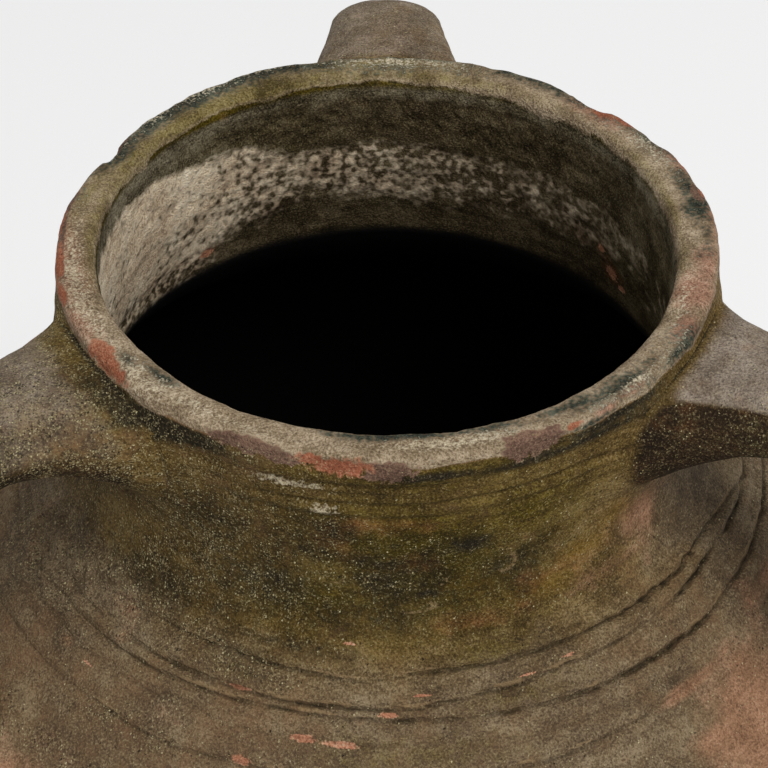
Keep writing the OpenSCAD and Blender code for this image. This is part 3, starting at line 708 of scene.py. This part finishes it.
def weathered_terracotta():
    """Low-fired red clay, thrown and left outdoors: matt, stained olive-brown by algae, mossy where water runs,
    crusted with lichen on the lip, limed inside the neck, with sharp flakes where the skin came off."""
    material = bpy.data.materials.new("weathered_terracotta")
    material.use_nodes = True
    tree = material.node_tree
    tree.nodes.clear()
    place = add(tree, "ShaderNodeTexCoord").outputs["Object"]
    wiped = add(tree, "ShaderNodeVectorMath", {0: place, 1: (0.16, 0.16, 1)}, operation="MULTIPLY")
    grain = {name: add(tree, "ShaderNodeTexNoise", {"Vector": place, "Scale": PER_M / size, "Detail": octaves,
                                                    "Roughness": 0.62})
             for name, (size, octaves) in NOISES.items()}
    grain["wiped"] = add(tree, "ShaderNodeTexNoise", {"Vector": wiped, "Scale": PER_M / 3, "Detail": 3,
                                                      "Roughness": 0.62})
    mottling = 0
    for name, share in MOTTLING.items():
        mottling = add(tree, "ShaderNodeMath", {0: grain[name], 1: share, 2: mottling}, operation="MULTIPLY_ADD")

    # bare clay, under everything
    colour, roughness, height = hex_colour("#86664b"), 0.85, 0
    for name, edge, ragged, soft, colours, thick, rough in COVERS:
        laid = add(tree, "ShaderNodeAttribute", attribute_name=name).outputs["Fac"]
        level = add(tree, "ShaderNodeMath", {0: grain[edge], 1: ragged, 2: laid}, operation="MULTIPLY_ADD")
        middle = 0.5 + ragged / 2
        amount = add(tree, "ShaderNodeMapRange", {"Value": level, "From Min": middle - soft, "From Max": middle + soft})
        tint = add(tree, "ShaderNodeValToRGB", {"Fac": mottling}, stops=list(zip((0.41, 0.5, 0.59), colours)))
        colour = add(tree, "ShaderNodeMix", {0: amount, 6: colour, 7: tint}, data_type="RGBA").outputs[2]
        roughness = add(tree, "ShaderNodeMix", {0: amount, 2: roughness, 3: rough}).outputs[0]
        if thick:
            height = add(tree, "ShaderNodeMath", {0: amount, 1: thick, 2: height}, operation="MULTIPLY_ADD")

    # turned lines: dark in the cut, partly dirt and partly painted shade, broken here and there, and a pale edge on the
    # ledge, partly wear and partly painted highlight
    line = add(tree, "ShaderNodeAttribute", attribute_name="line").outputs["Fac"]
    cut = add(tree, "ShaderNodeAttribute", attribute_name="cut").outputs["Fac"]
    wear_and_highlight = add(tree, "ShaderNodeAttribute", attribute_name="wear_and_highlight").outputs["Fac"]
    cut_dirt_and_shade = add(tree, "ShaderNodeMapRange", {"Value": line, "From Min": 0.1, "From Max": 0.8, "To Min": 1.2, "To Max": 0})
    broken = add(tree, "ShaderNodeMath", {0: cut_dirt_and_shade, 1: grain["small"]}, operation="MULTIPLY")
    cut_dirt_and_shade = add(tree, "ShaderNodeMath", {0: broken, 1: cut}, operation="MULTIPLY", use_clamp=True)
    colour = add(tree, "ShaderNodeMix", {0: cut_dirt_and_shade, 6: colour, 7: hex_colour("#241b0c")}, data_type="RGBA").outputs[2]
    height = add(tree, "ShaderNodeMath", {0: cut_dirt_and_shade, 1: -1.2, 2: height}, operation="MULTIPLY_ADD")
    edge = add(tree, "ShaderNodeMath", {0: grain["speck"], 1: 1.2, 2: wear_and_highlight}, operation="MULTIPLY_ADD")
    edge = add(tree, "ShaderNodeMapRange", {"Value": edge, "From Min": 1.0, "From Max": 1.4, "To Max": 0.6})
    colour = add(tree, "ShaderNodeMix", {0: edge, 6: colour, 7: hex_colour("#8b7352")}, data_type="RGBA").outputs[2]

    # grains of grit and shell, and dark pores, in drifts and none of them quite round
    density = add(tree, "ShaderNodeAttribute", attribute_name="grit").outputs["Fac"]
    nudge = add(tree, "ShaderNodeMath", {0: grain["fine"], 1: 1.4 * MM}, operation="MULTIPLY")
    bent = add(tree, "ShaderNodeVectorMath", {0: place, 1: nudge}, operation="ADD")
    drift = add(tree, "ShaderNodeMath", {0: grain["mid"], 1: grain["small"]}, operation="ADD")
    drift = add(tree, "ShaderNodeMapRange", {"Value": drift, "From Min": 0.86, "From Max": 1.16})
    drift = add(tree, "ShaderNodeMath", {0: drift, 1: density}, operation="MULTIPLY")
    crusted = add(tree, "ShaderNodeMath", {0: drift, 1: 1.1, 2: 0.22}, operation="MULTIPLY_ADD", use_clamp=True)
    for name, start, full, code, strength, stands in CRUST:
        fleck = add(tree, "ShaderNodeMapRange", {"Value": grain[name], "From Min": start, "From Max": full,
                                                 "To Max": strength})
        fleck = add(tree, "ShaderNodeMath", {0: fleck, 1: crusted}, operation="MULTIPLY")
        colour = add(tree, "ShaderNodeMix", {0: fleck, 6: colour, 7: hex_colour(code)}, data_type="RGBA").outputs[2]
        height = add(tree, "ShaderNodeMath", {0: fleck, 1: stands, 2: height}, operation="MULTIPLY_ADD")
    for size, radius, common, code, stands in GRAINS:
        cell = add(tree, "ShaderNodeTexVoronoi", {"Vector": bent, "Scale": PER_M / size})
        dot = add(tree, "ShaderNodeMapRange", {"Value": cell.outputs["Distance"], "From Min": radius * 0.6,
                                               "From Max": radius, "To Min": 1, "To Max": 0})
        pick = add(tree, "ShaderNodeSeparateColor", {"Color": cell.outputs["Color"]})
        group = add(tree, "ShaderNodeMath", {0: drift, 1: common}, operation="MULTIPLY")
        chosen = add(tree, "ShaderNodeMath", {0: pick, 1: group}, operation="LESS_THAN")
        grit = add(tree, "ShaderNodeMath", {0: dot, 1: chosen}, operation="MULTIPLY")
        shown = add(tree, "ShaderNodeMath", {0: pick.outputs[1], 1: 0.6, 2: 0.35}, operation="MULTIPLY_ADD")
        shown = add(tree, "ShaderNodeMath", {0: grit, 1: shown}, operation="MULTIPLY")
        colour = add(tree, "ShaderNodeMix", {0: shown, 6: colour, 7: hex_colour(code)}, data_type="RGBA").outputs[2]
        height = add(tree, "ShaderNodeMath", {0: grit, 1: stands, 2: height}, operation="MULTIPLY_ADD")

    # the hold below the throat painted near-black: painted shade, as almost no light reaches it
    hold_painted_shade = add(tree, "ShaderNodeAttribute", attribute_name="hold_painted_shade").outputs["Fac"]
    colour = add(tree, "ShaderNodeMix", {0: hold_painted_shade, 6: colour, 7: hex_colour("#060403")}, data_type="RGBA").outputs[2]

    height = add(tree, "ShaderNodeMath", {0: grain["speck"], 1: 0.8, 2: height}, operation="MULTIPLY_ADD")
    height = add(tree, "ShaderNodeMath", {0: grain["fine"], 1: 0.7, 2: height}, operation="MULTIPLY_ADD")
    bump = add(tree, "ShaderNodeBump", {"Height": height, "Distance": MM, "Strength": 0.9})
    shader = add(tree, "ShaderNodeBsdfPrincipled", {"Base Color": colour, "Roughness": roughness, "Normal": bump,
                                                    "IOR": 1.45, "Specular IOR Level": 0.15})
    add(tree, "ShaderNodeOutputMaterial", {"Surface": shader})


# Studio

def studio():
    mesh = bpy.data.meshes.new("floor")
    half = 8.0
    mesh.from_pydata([(x, y, 0) for x, y in ((-half, -half), (half, -half), (half, half), (-half, half))], [], [(0, 1, 2, 3)])
    floor = bpy.data.objects.new("floor", mesh)
    bpy.context.scene.collection.objects.link(floor)
    material = bpy.data.materials.new("studio_paper")
    material.use_nodes = True
    tree = material.node_tree
    tree.nodes.clear()
    paper = add(tree, "ShaderNodeBsdfDiffuse", {"Color": hex_colour("#f0f0f0")})
    add(tree, "ShaderNodeOutputMaterial", {"Surface": paper})
    floor.data.materials.append(material)

    world = bpy.data.worlds.new("studio")
    bpy.context.scene.world = world
    world.use_nodes = True
    tree = world.node_tree
    tree.nodes.clear()
    path = add(tree, "ShaderNodeLightPath")
    seen = add(tree, "ShaderNodeMath", {0: path.outputs["Is Camera Ray"], 1: path.outputs["Is Glossy Ray"]},
               operation="MAXIMUM")
    seen = add(tree, "ShaderNodeMath", {0: seen.outputs[0], 1: path.outputs["Is Transmission Ray"]},
               operation="MAXIMUM")
    light = add(tree, "ShaderNodeBackground", {"Color": hex_colour("#ffffff"), "Strength": 0.5})
    shown = add(tree, "ShaderNodeBackground", {"Color": hex_colour("#ededed"), "Strength": 1.0})
    both = add(tree, "ShaderNodeMixShader", {0: seen.outputs[0], 1: light.outputs[0], 2: shown.outputs[0]})
    add(tree, "ShaderNodeOutputWorld", {"Surface": both.outputs[0]})

    lamp = bpy.data.lights.new("softbox", "AREA")
    lamp.energy, lamp.size = 940, 6
    box = bpy.data.objects.new("softbox", lamp)
    box.location = (3.0, -4.8, 10.0)
    box.rotation_euler = (Vector((0, 0, 0.8)) - box.location).to_track_quat("-Z", "Y").to_euler()
    bpy.context.scene.collection.objects.link(box)


def camera():
    """The photograph's view: about a metre off the rim, 37 degrees down, the rim's middle at its pixel there."""
    width, focal = 768, 2194.7                      # pixels
    distance, down = 1.0, math.radians(37.1)
    rim_x, rim_y = 386.2, 231.1                     # pixels, right and down
    rim = Vector((0, 0, TOP * MM))
    place = rim + Vector((0, -distance * math.cos(down), distance * math.sin(down)))
    ahead = (rim - place).normalized()
    right = Vector((1, 0, 0))
    above = right.cross(ahead)
    pan, tilt = math.atan2(rim_x - width / 2, focal), math.atan2(width / 2 - rim_y, focal)
    ahead, above = ahead * math.cos(tilt) - above * math.sin(tilt), above * math.cos(tilt) + ahead * math.sin(tilt)
    ahead, right = ahead * math.cos(pan) - right * math.sin(pan), right * math.cos(pan) + ahead * math.sin(pan)
    lens = bpy.data.cameras.new("camera")
    lens.sensor_width = 36
    lens.lens = focal * lens.sensor_width / width
    view = bpy.data.objects.new("camera", lens)
    turned = [[right[k], above[k], -ahead[k], place[k]] for k in range(3)] + [[0, 0, 0, 1]]
    view.matrix_world = Matrix(turned)
    bpy.context.scene.collection.objects.link(view)
    bpy.context.scene.camera = view


camera()
studio()
bpy.context.scene.view_settings.view_transform = "Standard"
weathered_terracotta()
shapes = {name: handle_mesh(name) for name in HANDLES}
sides = {outside: side_of_wall(wall_tree(), outside) for outside in (True, False)}
wall_pieces(sides)
handle_pieces(sides)
